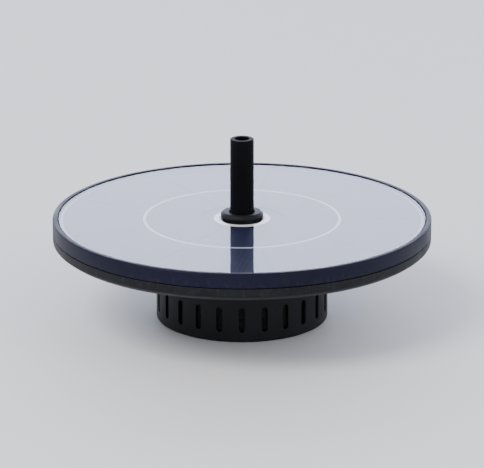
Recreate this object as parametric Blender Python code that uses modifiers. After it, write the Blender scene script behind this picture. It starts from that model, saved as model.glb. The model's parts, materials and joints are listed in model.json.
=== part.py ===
"""A floating solar fountain pump: a round solar panel on a float, with a small centrifugal pump
under it, a twist-off strainer round the pump and a push-on nozzle tube through the middle.

Metres, +Z up. The origin is on the axis of the nozzle, on the flat the strainer stands on.
Every node is one closed solid. Moving pieces hang from an empty on their joint's axis."""

import math

import bmesh
import bpy
from mathutils import Matrix

MM = 0.001
GAP = 0.3 * MM  # left between pieces that touch on the real object
RUNNING = 0.08 * MM  # left where one piece slides or spins on another
FINE = 1e-5  # merge distance of a turned or welded mesh

# ---- driving dimensions ----------------------------------------------------------------------
DISC_R = 80 * MM  # outside of the float and the panel frame
PANEL_TOP = 44 * MM  # top face of the clear sheet over the cells
RISER_HEIGHT = 34 * MM  # nozzle tube above the panel
RISER_R = 5 * MM
JET_R = 3 * MM
POD_R = 36.4 * MM  # outside of the strainer
POD_TOP = 21.5 * MM  # top edge of the strainer
PUMP_X = -9.3 * MM  # pump axis, offset so that its outlet lies on the nozzle's axis
PUMP_Z = 19 * MM
PUMP_R = 13.8 * MM  # outside of the pump body
CHAMBER_R = 12.1 * MM

# ---- levels and radii that follow ------------------------------------------------------------
GLAZING_T = 0.6 * MM
CELL_T = 0.3 * MM
BOARD_T = 1.2 * MM
CELL_Z = PANEL_TOP - GLAZING_T - GAP - CELL_T
BOARD_Z = CELL_Z - GAP - BOARD_T
TRAY_TOP = BOARD_Z - GAP  # floor of the recess the panel lies in
TRAY_T = 1.4 * MM
TRAY_UNDER = TRAY_TOP - TRAY_T
PANEL_R = DISC_R - 2.6 * MM
PANEL_HOLE_R = 8.3 * MM
SKIRT_Z = 38.2 * MM  # lower edge of the tray's outside wall
SHELL_TOP = SKIRT_Z - GAP
CHAMBER_EDGE_R = 75.4 * MM  # inside of the float shell's wall
WELL_R = 31.4 * MM  # the wet space round the pump
COLLAR_R = 33 * MM  # the shell's neck, which the strainer locks on
CEILING_Z = 34.2 * MM  # underside of the well's ceiling
CEILING_TOP = 35.8 * MM
SPIGOT_R = 3.7 * MM
OUTLET_R = 2.9 * MM
SHAFT_R = 1 * MM

OUTER_CELLS = 9
INNER_CELLS = 3
RING_R = 40.6 * MM  # the pale ring between the two bands of cells
RING_W = 1.3 * MM
CELL_GAP = 0.6 * MM

SCREWS = 6
SCREW_CIRCLE_R = 58 * MM
SCREW_ANGLE = 30  # degrees, of the first float screw
MOUNT_SCREWS = ((-26 * MM, 4 * MM), (12 * MM, 4 * MM))  # pump body to well ceiling
LEAD_HOLE = (PUMP_X, 16.9 * MM)  # where the lead passes through the ceiling into the motor

FLOAT_BOSS_R = 3.8 * MM  # round each float screw, in both shells
FLOAT_SCREW_R = 1.25 * MM
MOUNT_SCREW_R = 1.15 * MM
THREAD_ROOM = 0.35 * MM  # a pilot hole is this much wider than its screw's radius
CLEARANCE_ROOM = 0.65 * MM  # and a clearance hole this much
LEAD_HOLE_R = 2.7 * MM
LEAD_R = 1 * MM

STRAINER_LOCKS = 3
STRAINER_WINDOWS = 24
STRAINER_SLOTS = 12
SLOT_W = 2.6 * MM
BLADES = 6
BLADE_SWEEP = 45  # degrees
POLES = 4
COVER_SPOKES = 3
HOOK_TURNS = (-160, 20)  # degrees about the pump's own axis, either side of the outlet
HOOK_W = 3.2 * MM

LARGE, MEDIUM, BORE, SMALL = 40, 28, 24, 16  # sides of a turned piece
ROD_SIDES = 14  # sides of a boss or a drilled hole
SEAL_SIDES = 6  # sides of a seal ring's section

# ---- scene, materials and basic shapes -------------------------------------------------------


def clear_scene():
    for obj in list(bpy.data.objects):
        bpy.data.objects.remove(obj)


def new_collection(name):
    found = bpy.data.collections.new(name)
    bpy.context.scene.collection.children.link(found)
    return found


def material(name, colour, roughness, metallic=0.0, alpha=1.0):
    made = bpy.data.materials.new(name)
    made.use_nodes = True
    shader = made.node_tree.nodes["Principled BSDF"]
    shader.inputs["Base Color"].default_value = (*colour, 1.0)
    shader.inputs["Roughness"].default_value = roughness
    shader.inputs["Metallic"].default_value = metallic
    shader.inputs["Alpha"].default_value = alpha
    return made


def place(obj, finish, parent=None, collection=None):
    """Moves a new object to its collection and gives it its material and parent."""
    for old in list(obj.users_collection):
        old.objects.unlink(obj)
    (collection or PARTS).objects.link(obj)
    if finish is None:
        obj.hide_render = True
        obj.display_type = "WIRE"
    else:
        obj.data.materials.append(finish)
    obj.parent = parent
    return obj


def axis_empty(name, location, rotation=(0, 0, 0), parent=None):
    empty = bpy.data.objects.new(name, None)
    empty.location = location
    empty.rotation_euler = rotation
    empty.parent = parent
    empty.empty_display_size = 0.02
    PARTS.objects.link(empty)
    return empty


def turned(
    name, profile, finish, sides=LARGE, parent=None, at=(0, 0, 0), closed=True, collection=None
):
    """A solid of revolution about local Z. The profile holds (radius, height) points, down its
    outer side first. An open profile starts and ends on the axis."""
    mesh = bpy.data.meshes.new(name)
    shape = bmesh.new()
    points = [shape.verts.new((r, 0, z)) for r, z in profile]
    for a, b in zip(points, points[1:] + points[:1] if closed else points[1:]):
        shape.edges.new((a, b))
    shape.to_mesh(mesh)
    shape.free()
    obj = place(bpy.data.objects.new(name, mesh), finish, parent, collection)
    obj.location = at
    screw = obj.modifiers.new("Turn", "SCREW")
    screw.axis = "Z"
    screw.steps = screw.render_steps = sides
    screw.use_merge_vertices = True
    screw.merge_threshold = FINE
    return obj


def ring_profile(inner, outer, low, high):
    return [(outer, high), (outer, low), (inner, low), (inner, high)]


def blocks(name, boxes, finish=None, parent=None, collection=None):
    """One mesh of separate boxes, each ((x, y, z) centre, (x, y, z) size, turn about Z in degrees,
    with the centre turned too)."""
    mesh = bpy.data.meshes.new(name)
    shape = bmesh.new()
    for centre, size, turn in boxes:
        matrix = Matrix.Rotation(math.radians(turn), 4, "Z") @ Matrix.Translation(centre)
        matrix @= Matrix.Diagonal((*size, 1))
        bmesh.ops.create_cube(shape, size=1, matrix=matrix)
    shape.to_mesh(mesh)
    shape.free()
    return place(bpy.data.objects.new(name, mesh), finish, parent, collection)


def rods(name, ends, finish=None, sides=ROD_SIDES, parent=None, collection=None):
    """One mesh of separate upright cylinders, each (x, y, radius, low, high)."""
    mesh = bpy.data.meshes.new(name)
    shape = bmesh.new()
    for x, y, radius, low, high in ends:
        matrix = Matrix.Translation((x, y, (low + high) / 2))
        matrix @= Matrix.Diagonal((radius, radius, high - low, 1))
        bmesh.ops.create_cone(
            shape, cap_ends=True, segments=sides, radius1=1, radius2=1, depth=1, matrix=matrix
        )
    shape.to_mesh(mesh)
    shape.free()
    return place(bpy.data.objects.new(name, mesh), finish, parent, collection)


def flat_plate(name, outline, low, thickness, finish, parent=None):
    """A plate cut to a closed outline of (x, y) points, standing on height low."""
    curve = bpy.data.curves.new(name, "CURVE")
    curve.dimensions = "2D"
    curve.fill_mode = "BOTH"
    curve.extrude = thickness / 2
    spline = curve.splines.new("POLY")
    spline.points.add(len(outline) - 1)
    spline.use_cyclic_u = True
    for point, (x, y) in zip(spline.points, outline):
        point.co = (x, y, 0, 1)
    obj = place(bpy.data.objects.new(name, curve), finish, parent)
    obj.location.z = low + thickness / 2
    return obj


def as_mesh(curve_object):
    """Replaces a curve object by a closed mesh object, so that a Boolean can use it."""
    bpy.context.view_layer.update()
    graph = bpy.context.evaluated_depsgraph_get()
    mesh = bpy.data.meshes.new_from_object(curve_object.evaluated_get(graph))
    shape = bmesh.new()
    shape.from_mesh(mesh)
    bmesh.ops.remove_doubles(shape, verts=shape.verts, dist=FINE / 10)
    bmesh.ops.recalc_face_normals(shape, faces=shape.faces)
    shape.to_mesh(mesh)
    shape.free()
    obj = bpy.data.objects.new(curve_object.name + "_mesh", mesh)
    place(obj, None, curve_object.parent, CUTTERS)
    obj.matrix_world = curve_object.matrix_world
    bpy.data.objects.remove(curve_object)
    return obj


def boolean(obj, other, operation="DIFFERENCE"):
    modifier = obj.modifiers.new(other.name, "BOOLEAN")
    modifier.operation = operation
    modifier.object = other
    return obj


def cut_blocks(obj, name, boxes, parent=None):
    return boolean(obj, blocks(name, boxes, parent=parent, collection=CUTTERS))


def cut_rods(obj, name, ends, parent=None, sides=ROD_SIDES):
    return boolean(obj, rods(name, ends, parent=parent, sides=sides, collection=CUTTERS))


def add_blocks(obj, name, boxes, parent=None):
    return boolean(obj, blocks(name, boxes, parent=parent, collection=CUTTERS), "UNION")


def add_rods(obj, name, ends, parent=None, sides=ROD_SIDES):
    return boolean(obj, rods(name, ends, parent=parent, sides=sides, collection=CUTTERS), "UNION")


def seal_ring(name, major, minor, at, finish, parent=None, sides=LARGE):
    bpy.ops.mesh.primitive_torus_add(
        major_radius=major,
        minor_radius=minor,
        major_segments=sides,
        minor_segments=SEAL_SIDES,
        location=at,
    )
    obj = bpy.context.object
    obj.name = name
    return place(obj, finish, parent)


def turns(count, first=0.0):
    """Evenly spaced turns, in degrees."""
    return [first + 360 * i / count for i in range(count)]


def around(count, radius, first=0.0):
    """(x, y) points evenly spaced on a circle."""
    angles = [math.radians(turn) for turn in turns(count, first)]
    return [(radius * math.cos(a), radius * math.sin(a)) for a in angles]


def sector(inner, outer, start, end, steps, half_gap):
    """The outline of one cell: a piece of a ring between two angles in degrees, set back from each
    radial line by half_gap."""
    outline = []
    for radius, first, last in ((inner, start, end), (outer, end, start)):
        back = math.degrees(math.asin(half_gap / radius)) * (1 if last > first else -1)
        a, b = first + back, last - back
        for i in range(steps + 1):
            angle = math.radians(a + (b - a) * i / steps)
            outline.append((radius * math.cos(angle), radius * math.sin(angle)))
    return outline[::-1]


# ---- the float -------------------------------------------------------------------------------


def float_screw_places():
    return around(SCREWS, SCREW_CIRCLE_R, SCREW_ANGLE)


def make_float_shell():
    """The lower shell: an outside wall, a shallow cone, a neck for the strainer, and an upturned
    cup that holds the pump in the wet."""
    neck_low = 17 * MM
    flat_z = 21.9 * MM
    wall = 1.8 * MM
    profile = [
        (DISC_R, SHELL_TOP),
        (DISC_R, 35.2 * MM),
        (DISC_R - 0.8 * MM, 33.6 * MM),
        (DISC_R - 2.6 * MM, 32.6 * MM),
        (40.5 * MM, 22.3 * MM),
        (39 * MM, flat_z),
        (COLLAR_R, flat_z),
        (COLLAR_R, neck_low),
        (WELL_R, neck_low),
        (WELL_R, CEILING_Z),
        (4.3 * MM, CEILING_Z),
        (4.3 * MM, CEILING_TOP),
        (WELL_R + wall, CEILING_TOP),
        (WELL_R + wall, flat_z + 2 * MM),
        (39.2 * MM, flat_z + 2 * MM),
        (40 * MM, 24.2 * MM),
        (CHAMBER_EDGE_R, 34.1 * MM),
        (CHAMBER_EDGE_R, SHELL_TOP),
    ]
    shell = turned("float_shell", profile, BLACK_PLASTIC)
    bosses = [(x, y, FLOAT_BOSS_R, 27.6 * MM, 36.2 * MM) for x, y in float_screw_places()]
    bosses += [(x, y, 3 * MM, CEILING_Z + 0.4 * MM, 38.8 * MM) for x, y in MOUNT_SCREWS]
    add_rods(shell, "shell_bosses", bosses)
    counterbores = [(x, y, 3.4 * MM, 20 * MM, 30.5 * MM) for x, y in float_screw_places()]
    cut_rods(shell, "shell_counterbores", counterbores)
    clear_r = FLOAT_SCREW_R + CLEARANCE_ROOM
    pilot_r = MOUNT_SCREW_R + THREAD_ROOM
    holes = [(x, y, clear_r, 29 * MM, 38 * MM) for x, y in float_screw_places()]
    holes += [(x, y, pilot_r, 30 * MM, 38 * MM) for x, y in MOUNT_SCREWS]
    holes.append((*LEAD_HOLE, LEAD_HOLE_R, 30 * MM, 40 * MM))
    cut_rods(shell, "shell_holes", holes)
    lug = ((COLLAR_R + 0.4 * MM, 0, 17.6 * MM), (2 * MM, 6.4 * MM, 1.2 * MM))
    stop = ((COLLAR_R, -5.4 * MM, 19 * MM), (2 * MM, 1.4 * MM, 4 * MM))
    add_blocks(shell, "strainer_lugs", [(*lug, turn) for turn in turns(STRAINER_LOCKS)])
    add_blocks(shell, "strainer_stops", [(*stop, turn) for turn in turns(STRAINER_LOCKS)])


def make_top_tray():
    """The black frame the eye sees as the panel's edge: a dish with a raised lip."""
    profile = [
        (DISC_R - 1 * MM, PANEL_TOP + 0.4 * MM),
        (DISC_R - 0.3 * MM, PANEL_TOP + 0.15 * MM),
        (DISC_R, PANEL_TOP - 0.5 * MM),
        (DISC_R, SKIRT_Z),
        (DISC_R - 1.7 * MM, SKIRT_Z),
        (DISC_R - 1.7 * MM, TRAY_UNDER),
        (PANEL_HOLE_R, TRAY_UNDER),
        (PANEL_HOLE_R, TRAY_TOP),
        (PANEL_R + 0.4 * MM, TRAY_TOP),
        (PANEL_R + 0.4 * MM, PANEL_TOP + 0.1 * MM),
        (PANEL_R + 0.8 * MM, PANEL_TOP + 0.4 * MM),
    ]
    tray = turned("top_tray", profile, BLACK_PLASTIC)
    boss_top = TRAY_UNDER + 0.4 * MM
    bosses = [(x, y, FLOAT_BOSS_R, 36.5 * MM, boss_top) for x, y in float_screw_places()]
    add_rods(tray, "tray_bosses", bosses)
    pilot_r = FLOAT_SCREW_R + THREAD_ROOM
    holes = [(x, y, pilot_r, 36 * MM, 40.2 * MM) for x, y in float_screw_places()]
    cut_rods(tray, "tray_screw_holes", holes)
    cut_blocks(tray, "terminal_window", [((45 * MM, 0, 40 * MM), (17 * MM, 10 * MM, 6 * MM), 0)])


def make_float_seals():
    seal_ring("rim_gasket", 76.7 * MM, 0.5 * MM, (0, 0, 38.75 * MM), RUBBER)
    turned("hub_gasket", ring_profile(4.2 * MM, 7.9 * MM, 36.1 * MM, 37.6 * MM), RUBBER, MEDIUM)


def make_foam_float():
    """A closed-cell ring that fills the float, so that it stays up if water gets in."""
    profile = [
        (74.5 * MM, 35.5 * MM),
        (74.5 * MM, 34.4 * MM),
        (41 * MM, 25 * MM),
        (39 * MM, 24.4 * MM),
        (33.8 * MM, 24.4 * MM),
        (33.8 * MM, 35.5 * MM),
    ]
    foam = turned("foam_float", profile, FOAM)
    round_boss = FLOAT_BOSS_R + 0.5 * MM
    holes = [(x, y, round_boss, 20 * MM, 40 * MM) for x, y in float_screw_places()]
    cut_rods(foam, "foam_holes", holes)


def make_screw(name, x, y, head_z, head_r, head_h, shank_r, tip_z):
    """A pan-head screw driven upwards, with a cross recess in its head."""
    profile = [
        (0, tip_z),
        (shank_r * 0.5, tip_z),
        (shank_r, tip_z - shank_r),
        (shank_r, head_z + head_h),
        (head_r, head_z + head_h),
        (head_r, head_z + head_h * 0.45),
        (head_r * 0.65, head_z),
        (0, head_z),
    ]
    screw = turned(name, profile, STEEL, ROD_SIDES, at=(x, y, 0), closed=False)
    recess = head_h * 0.6
    long, narrow = head_r * 1.1, head_r * 0.28
    bars = [((0, 0, head_z), (long, narrow, recess * 2), turn) for turn in (0, 90)]
    for number, bar in enumerate(bars):
        cutter = blocks(f"{name}_recess_{number}", [bar], collection=CUTTERS)
        cutter.location = (x, y, 0)
        boolean(screw, cutter)


def make_screws():
    head_z, head_r, head_h, tip_z = 28.2 * MM, 2.9 * MM, 2 * MM, 39.8 * MM
    for number, (x, y) in enumerate(float_screw_places(), 1):
        make_screw(f"float_screw_{number}", x, y, head_z, head_r, head_h, FLOAT_SCREW_R, tip_z)
    head_z, head_r, head_h, tip_z = 29.3 * MM, 2.3 * MM, 1.7 * MM, 37.6 * MM
    for number, (x, y) in enumerate(MOUNT_SCREWS, 1):
        make_screw(f"pump_screw_{number}", x, y, head_z, head_r, head_h, MOUNT_SCREW_R, tip_z)


# ---- the solar panel -------------------------------------------------------------------------


def make_panel():
    """A laminate in its real layers. The nine outer and three inner cells have the same area, as
    cells in one string must."""
    turned("panel_board", ring_profile(PANEL_HOLE_R, PANEL_R, BOARD_Z, BOARD_Z + BOARD_T), BOARD)
    glazing = ring_profile(PANEL_HOLE_R, PANEL_R, PANEL_TOP - GLAZING_T, PANEL_TOP)
    turned("panel_glazing", glazing, GLAZING)
    bands = (
        ("outer_cell", OUTER_CELLS, RING_R + RING_W + 0.4 * MM, DISC_R - 5 * MM),
        ("inner_cell", INNER_CELLS, 18 * MM, RING_R - 0.4 * MM),
    )
    for name, count, inner, outer in bands:
        width = 360 / count
        for number, turn in enumerate(turns(count), 1):
            outline = sector(inner, outer, turn, turn + width, LARGE // count, CELL_GAP / 2)
            flat_plate(f"{name}_{number}", outline, CELL_Z, CELL_T, SILICON)
    rings = (
        ("panel_ring", RING_R, RING_R + RING_W),
        ("panel_edge_ring", DISC_R - 4.5 * MM, DISC_R - 3.1 * MM),
        ("panel_centre_ring", 9.6 * MM, 12 * MM),
    )
    for name, inner, outer in rings:
        turned(name, ring_profile(inner, outer, CELL_Z, CELL_Z + CELL_T), TINNED)


def make_terminals():
    """The block the cell string ends in, the diode beside it and the lead to the motor."""
    block = ((42.5 * MM, 0, 39.35 * MM), (9 * MM, 8 * MM, 3.3 * MM), 0)
    blocks("terminal_block", [block], BLACK_PLASTIC)
    diode = turned(
        "blocking_diode",
        [(0, 3 * MM), (1.1 * MM, 3 * MM), (1.1 * MM, -3 * MM), (0, -3 * MM)],
        RESIN,
        SMALL,
        at=(50.3 * MM, 0, 39.6 * MM),
        closed=False,
    )
    diode.rotation_euler = (math.radians(90), 0, 0)
    route = [
        (37.6, 0, 38.4),
        (31, 3, 37.9),
        (22, 10, 37.9),
        (10, 16.2, 38),
        (-1, 18.2, 38.3),
        (-6.3, 17.6, 38.4),
        (-8.5, 17.1, 37.9),
        (-9.2, 16.9, 36.6),
        (-9.3, 16.9, 35),
        (-9.3, 16.9, 31.8),
    ]
    lead_through("motor_lead", [tuple(v * MM for v in p) for p in route], LEAD_R)


def lead_through(name, route, radius):
    """A lead along a smooth curve through the route's points."""
    steps = 3
    points = []
    padded = [route[0]] + route + [route[-1]]
    for a, b, c, d in zip(padded, padded[1:], padded[2:], padded[3:]):
        for i in range(steps):
            points.append(catmull_rom(a, b, c, d, i / steps))
    points.append(route[-1])
    curve = bpy.data.curves.new(name, "CURVE")
    curve.dimensions = "3D"
    curve.bevel_depth = radius
    curve.bevel_resolution = 2
    curve.use_fill_caps = True
    spline = curve.splines.new("POLY")
    spline.points.add(len(points) - 1)
    for point, co in zip(spline.points, points):
        point.co = (*co, 1)
    return place(bpy.data.objects.new(name, curve), CABLE)


def catmull_rom(a, b, c, d, t):
    """A point between b and c on the smooth curve through a, b, c and d."""
    return tuple(
        0.5 * (2 * q + (r - p) * t + (2 * p - 5 * q + 4 * r - s) * t**2 + (3 * q - p - 3 * r + s) * t**3)
        for p, q, r, s in zip(a, b, c, d)
    )


# ---- the pump, turned about its own axis: local z is the object's +Y -------------------------


def make_pump_body():
    """Volute chamber at the front, motor pocket at the back, and between them a blind cup for
    the rotor's magnet. The outlet leaves the chamber as a tangent, straight up to the nozzle."""
    front, back = -4.2 * MM, 20 * MM
    profile = [
        (0, 14.1 * MM),
        (6.8 * MM, 14.1 * MM),
        (6.8 * MM, 5.5 * MM),
        (CHAMBER_R, 5.5 * MM),
        (CHAMBER_R, back),
        (PUMP_R, back),
        (PUMP_R, front),
        (CHAMBER_R, front),
        (CHAMBER_R, 4 * MM),
        (5.6 * MM, 4 * MM),
        (5.6 * MM, 12.9 * MM),
        (0, 12.9 * MM),
    ]
    body = turned("pump_body", profile[::-1], GREY_PLASTIC, MEDIUM, PUMP_AXIS, closed=False)
    body.modifiers["Turn"].use_normal_flip = True
    flange = ((-7 * MM, 4 * MM, 32.6 * MM), (44 * MM, 7 * MM, 2.4 * MM), 0)
    add_blocks(body, "pump_flange", [flange])
    pipe_r = OUTLET_R + 1.2 * MM
    add_rods(body, "pump_outlet", [(0, 0, pipe_r, PUMP_Z, 33.8 * MM)], sides=BORE)
    add_rods(body, "pump_spigot", [(0, 0, SPIGOT_R, 33 * MM, 48 * MM)], sides=BORE)
    lug = ((PUMP_R + 0.4 * MM, 0, -1.9 * MM), (2 * MM, 3.6 * MM, 1.4 * MM))
    add_blocks(body, "pump_lugs", [(*lug, turn) for turn in HOOK_TURNS], parent=PUMP_AXIS)
    floor, tool_r = 3.9 * MM, CHAMBER_R - 0.1 * MM
    chamber = turned(
        "pump_chamber_tool",
        [(0, floor), (tool_r, floor), (tool_r, -6 * MM), (0, -6 * MM)],
        None,
        MEDIUM,
        PUMP_AXIS,
        closed=False,
        collection=CUTTERS,
    )
    boolean(body, chamber)
    cut_rods(body, "pump_bore", [(0, 0, OUTLET_R, PUMP_Z, 50 * MM)], sides=BORE)
    holes = [(*LEAD_HOLE, LEAD_HOLE_R, 26 * MM, 36 * MM)]
    pilot_r = MOUNT_SCREW_R + THREAD_ROOM
    holes += [(x, y, pilot_r, 30 * MM, 36 * MM) for x, y in MOUNT_SCREWS]
    cut_rods(body, "pump_holes", holes)


def make_motor():
    """A four-pole stator with a coil on each pole, the driver board behind it and an end cap."""
    core_low, core_high = 6.9 * MM, 11.9 * MM
    middle = (core_low + core_high) / 2
    yoke = ring_profile(10 * MM, 11.7 * MM, core_low, core_high)
    core = turned("stator_core", yoke, IRON, MEDIUM, PUMP_AXIS)
    tooth = ((8.8 * MM, 0, middle), (3.2 * MM, 3.2 * MM, core_high - core_low - 0.02 * MM))
    teeth = [(*tooth, turn) for turn in turns(POLES)]
    add_blocks(core, "stator_teeth", teeth, parent=PUMP_AXIS)
    coil_at = (8.05 * MM, 0, middle)
    coil_size, window_size = (1.7 * MM, 6.6 * MM, 7.2 * MM), (4 * MM, 3.8 * MM, 5.6 * MM)
    for number, turn in enumerate(turns(POLES), 1):
        winding = blocks(f"coil_{number}", [(coil_at, coil_size, turn)], COPPER, PUMP_AXIS)
        window = [(coil_at, window_size, turn)]
        cut_blocks(winding, f"coil_window_{number}", window, parent=PUMP_AXIS)
    disc = [(0, 15.5 * MM), (11.6 * MM, 15.5 * MM), (11.6 * MM, 14.5 * MM), (0, 14.5 * MM)]
    turned("driver_board", disc, CIRCUIT, MEDIUM, PUMP_AXIS, closed=False)
    chip = ((-4 * MM, 2 * MM, 16.4 * MM), (4 * MM, 5 * MM, 1.2 * MM), 0)
    blocks("driver_chip", [chip], RESIN, PUMP_AXIS)
    capacitor = ((4 * MM, 3 * MM, 16.7 * MM), (3 * MM, 5 * MM, 1.8 * MM), 0)
    blocks("filter_capacitor", [capacitor], TANTALUM, PUMP_AXIS)
    cap = [(0, 19.6 * MM), (11.7 * MM, 19.6 * MM), (11.7 * MM, 18.2 * MM), (0, 18.2 * MM)]
    turned("motor_end_cap", cap, BLACK_PLASTIC, MEDIUM, PUMP_AXIS, closed=False)
    grommet = [
        (4.4 * MM, 36.6 * MM),
        (4.4 * MM, 36.1 * MM),
        (2.3 * MM, 36.1 * MM),
        (2.3 * MM, 31.8 * MM),
        (1.35 * MM, 31.8 * MM),
        (1.35 * MM, 35.2 * MM),
        (2.6 * MM, 36.6 * MM),
    ]
    turned("lead_grommet", grommet, RUBBER, SMALL, at=(*LEAD_HOLE, 0))


def make_rotor():
    """The impeller, with six swept blades, and the ring magnet on its stem. Both spin."""
    plate_low, plate_high, eye = 1.7 * MM, 2.6 * MM, -2.6 * MM
    bore = SHAFT_R + RUNNING
    profile = [
        (1.9 * MM, 10.9 * MM),
        (1.9 * MM, plate_high),
        (10.5 * MM, plate_high),
        (10.5 * MM, plate_low),
        (3 * MM, plate_low),
        (3 * MM, eye),
        (bore, eye),
        (bore, 10.9 * MM),
    ]
    wheel = turned("impeller", profile, WHITE_PLASTIC, MEDIUM, ROTOR_AXIS)
    height = plate_low + 0.5 * MM - eye
    for number, turn in enumerate(turns(BLADES), 1):
        blade = flat_plate(f"blade_{number}", blade_outline(turn), eye, height, None, ROTOR_AXIS)
        boolean(wheel, as_mesh(blade), "UNION")
    magnet = ring_profile(2.2 * MM, 5 * MM, 2.9 * MM, 10.3 * MM)
    turned("rotor_magnet", magnet, MAGNET, MEDIUM, ROTOR_AXIS)


def blade_outline(start):
    """One swept blade: a strip of even thickness along a spiral from the hub to the rim."""
    inner, outer, thickness, steps = 2.6 * MM, 10.3 * MM, 0.9 * MM, 4
    sides = []
    for side in (1, -1):
        edge = []
        for i in range(steps + 1):
            share = i / steps
            radius = inner + (outer - inner) * share
            angle = math.radians(start + BLADE_SWEEP * share) + side * thickness / 2 / radius
            edge.append((radius * math.cos(angle), radius * math.sin(angle)))
        sides.append(edge)
    return sides[1] + sides[0][::-1]


def make_shaft():
    shaft = [
        (0, 12.3 * MM),
        (SHAFT_R * 0.8, 12.3 * MM),
        (SHAFT_R, 12.1 * MM),
        (SHAFT_R, -5.8 * MM),
        (SHAFT_R * 0.8, -6 * MM),
        (0, -6 * MM),
    ]
    turned("rotor_shaft", shaft, CERAMIC, SMALL, PUMP_AXIS, closed=False)
    bush = ring_profile(SHAFT_R + GAP, 2.6 * MM, 11.2 * MM, 12.6 * MM)
    turned("rear_bush", bush, RUBBER, SMALL, PUMP_AXIS)
    bush = ring_profile(SHAFT_R + GAP, 2 * MM, -6 * MM, -4.6 * MM)
    turned("front_bush", bush, RUBBER, SMALL, COVER_AXIS)


def make_volute_cover():
    """The cover that holds the rotor in. It twists off: two hooks catch the body's lugs."""
    profile = [
        (13.4 * MM, -4.5 * MM),
        (13.8 * MM, -5 * MM),
        (13.8 * MM, -5.9 * MM),
        (13.4 * MM, -6.3 * MM),
        (7.6 * MM, -6.3 * MM),
        (7.2 * MM, -8 * MM),
        (6.2 * MM, -8 * MM),
        (6.2 * MM, -4.5 * MM),
        (10.4 * MM, -4.5 * MM),
        (10.4 * MM, -3 * MM),
        (11 * MM, -3 * MM),
        (11 * MM, -4.5 * MM),
    ]
    cover = turned("volute_cover", profile, GREY_PLASTIC, MEDIUM, COVER_AXIS)
    spoke = ((4.8 * MM, 0, -5.4 * MM), (4.2 * MM, 1.4 * MM, 1.4 * MM))
    spokes = [(*spoke, turn) for turn in turns(COVER_SPOKES, 30)]
    add_blocks(cover, "cover_spokes", spokes, parent=COVER_AXIS)
    hub_ring = ring_profile(2.4 * MM, 3.2 * MM, -6.3 * MM, -4.5 * MM)
    hub = turned("cover_hub", hub_ring, None, SMALL, COVER_AXIS, collection=CUTTERS)
    boolean(cover, hub, "UNION")
    hook = [
        (13 * MM, -6.1 * MM),
        (16.9 * MM, -6.1 * MM),
        (16.9 * MM, 0.2 * MM),
        (14.3 * MM, 0.2 * MM),
        (14.3 * MM, -0.9 * MM),
        (15.5 * MM, -0.9 * MM),
        (15.5 * MM, -4.7 * MM),
        (13 * MM, -4.7 * MM),
    ]
    for number, turn in enumerate(HOOK_TURNS, 1):
        arm = flat_plate(f"hook_{number}", hook, -HOOK_W / 2, HOOK_W, None, COVER_AXIS)
        arm.rotation_euler = (math.radians(90), 0, math.radians(turn))
        boolean(cover, as_mesh(arm), "UNION")
    seal_ring("cover_seal", 11.55 * MM, 0.35 * MM, (0, 0, -3.8 * MM), RUBBER, COVER_AXIS, MEDIUM)


# ---- the strainer and the nozzle -------------------------------------------------------------


def make_strainer():
    """A slotted basket on a foot ring. Three tabs inside its rim rest on the neck's lugs until
    the basket is twisted."""
    wall_in = POD_R - 1.6 * MM
    profile = [
        (POD_R - 0.4 * MM, POD_TOP),
        (POD_R, POD_TOP - 0.5 * MM),
        (POD_R, 1 * MM),
        (POD_R - 1 * MM, 0),
        (29 * MM, 0),
        (28 * MM, 1.2 * MM),
        (0, 1.2 * MM),
        (0, 3 * MM),
        (wall_in, 3 * MM),
        (wall_in, POD_TOP),
    ]
    basket = turned("strainer", profile[6::-1] + profile[:6:-1], BLACK_PLASTIC, closed=False)
    basket.modifiers["Turn"].use_normal_flip = True
    basket.parent = STRAINER_AXIS
    window = ((POD_R, 0, 9.8 * MM), (8 * MM, SLOT_W, 10.8 * MM))
    windows = [(*window, turn) for turn in turns(STRAINER_WINDOWS)]
    cut_blocks(basket, "strainer_windows", windows, STRAINER_AXIS)
    slot = ((18 * MM, 0, 2 * MM), (16 * MM, SLOT_W, 4 * MM))
    slots = [(*slot, turn) for turn in turns(STRAINER_SLOTS, 15)]
    cut_blocks(basket, "strainer_floor_slots", slots, STRAINER_AXIS)
    tab = ((34.5 * MM, 0, 19.4 * MM), (2.1 * MM, 6.6 * MM, 1.6 * MM))
    tabs = [(*tab, turn) for turn in turns(STRAINER_LOCKS)]
    add_blocks(basket, "strainer_tabs", tabs, STRAINER_AXIS)
    sponge = ring_profile(31.6 * MM, 34.3 * MM, 3.4 * MM, 16.5 * MM)
    turned("filter_sponge", sponge, SPONGE, LARGE, STRAINER_AXIS)


def make_nozzle():
    """The collar in the middle of the panel, and the tube that pushes on to the pump's spigot."""
    collar = [
        (7.6 * MM, PANEL_TOP + 2.2 * MM),
        (9 * MM, PANEL_TOP + 1.2 * MM),
        (9 * MM, PANEL_TOP + GAP),
        (7.9 * MM, PANEL_TOP + GAP),
        (7.9 * MM, SHELL_TOP),
        (5.4 * MM, SHELL_TOP),
        (5.4 * MM, PANEL_TOP + 2.2 * MM),
    ]
    turned("hub_collar", collar, BLACK_PLASTIC, MEDIUM)
    top = PANEL_TOP + RISER_HEIGHT
    riser = [
        (RISER_R - 0.4 * MM, top),
        (RISER_R, top - 0.4 * MM),
        (RISER_R, 38.6 * MM),
        (RISER_R - 0.4 * MM, 38.2 * MM),
        (SPIGOT_R + RUNNING, 38.2 * MM),
        (SPIGOT_R + RUNNING, 49 * MM),
        (JET_R, 50 * MM),
        (JET_R, top - 0.3 * MM),
        (JET_R + 0.3 * MM, top),
    ]
    turned("nozzle_tube", riser, BLACK_GLOSS, LARGE, NOZZLE_AXIS)


# ---- build -----------------------------------------------------------------------------------

clear_scene()
PARTS = new_collection("solar_fountain_pump")
CUTTERS = new_collection("cutters")

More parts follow.
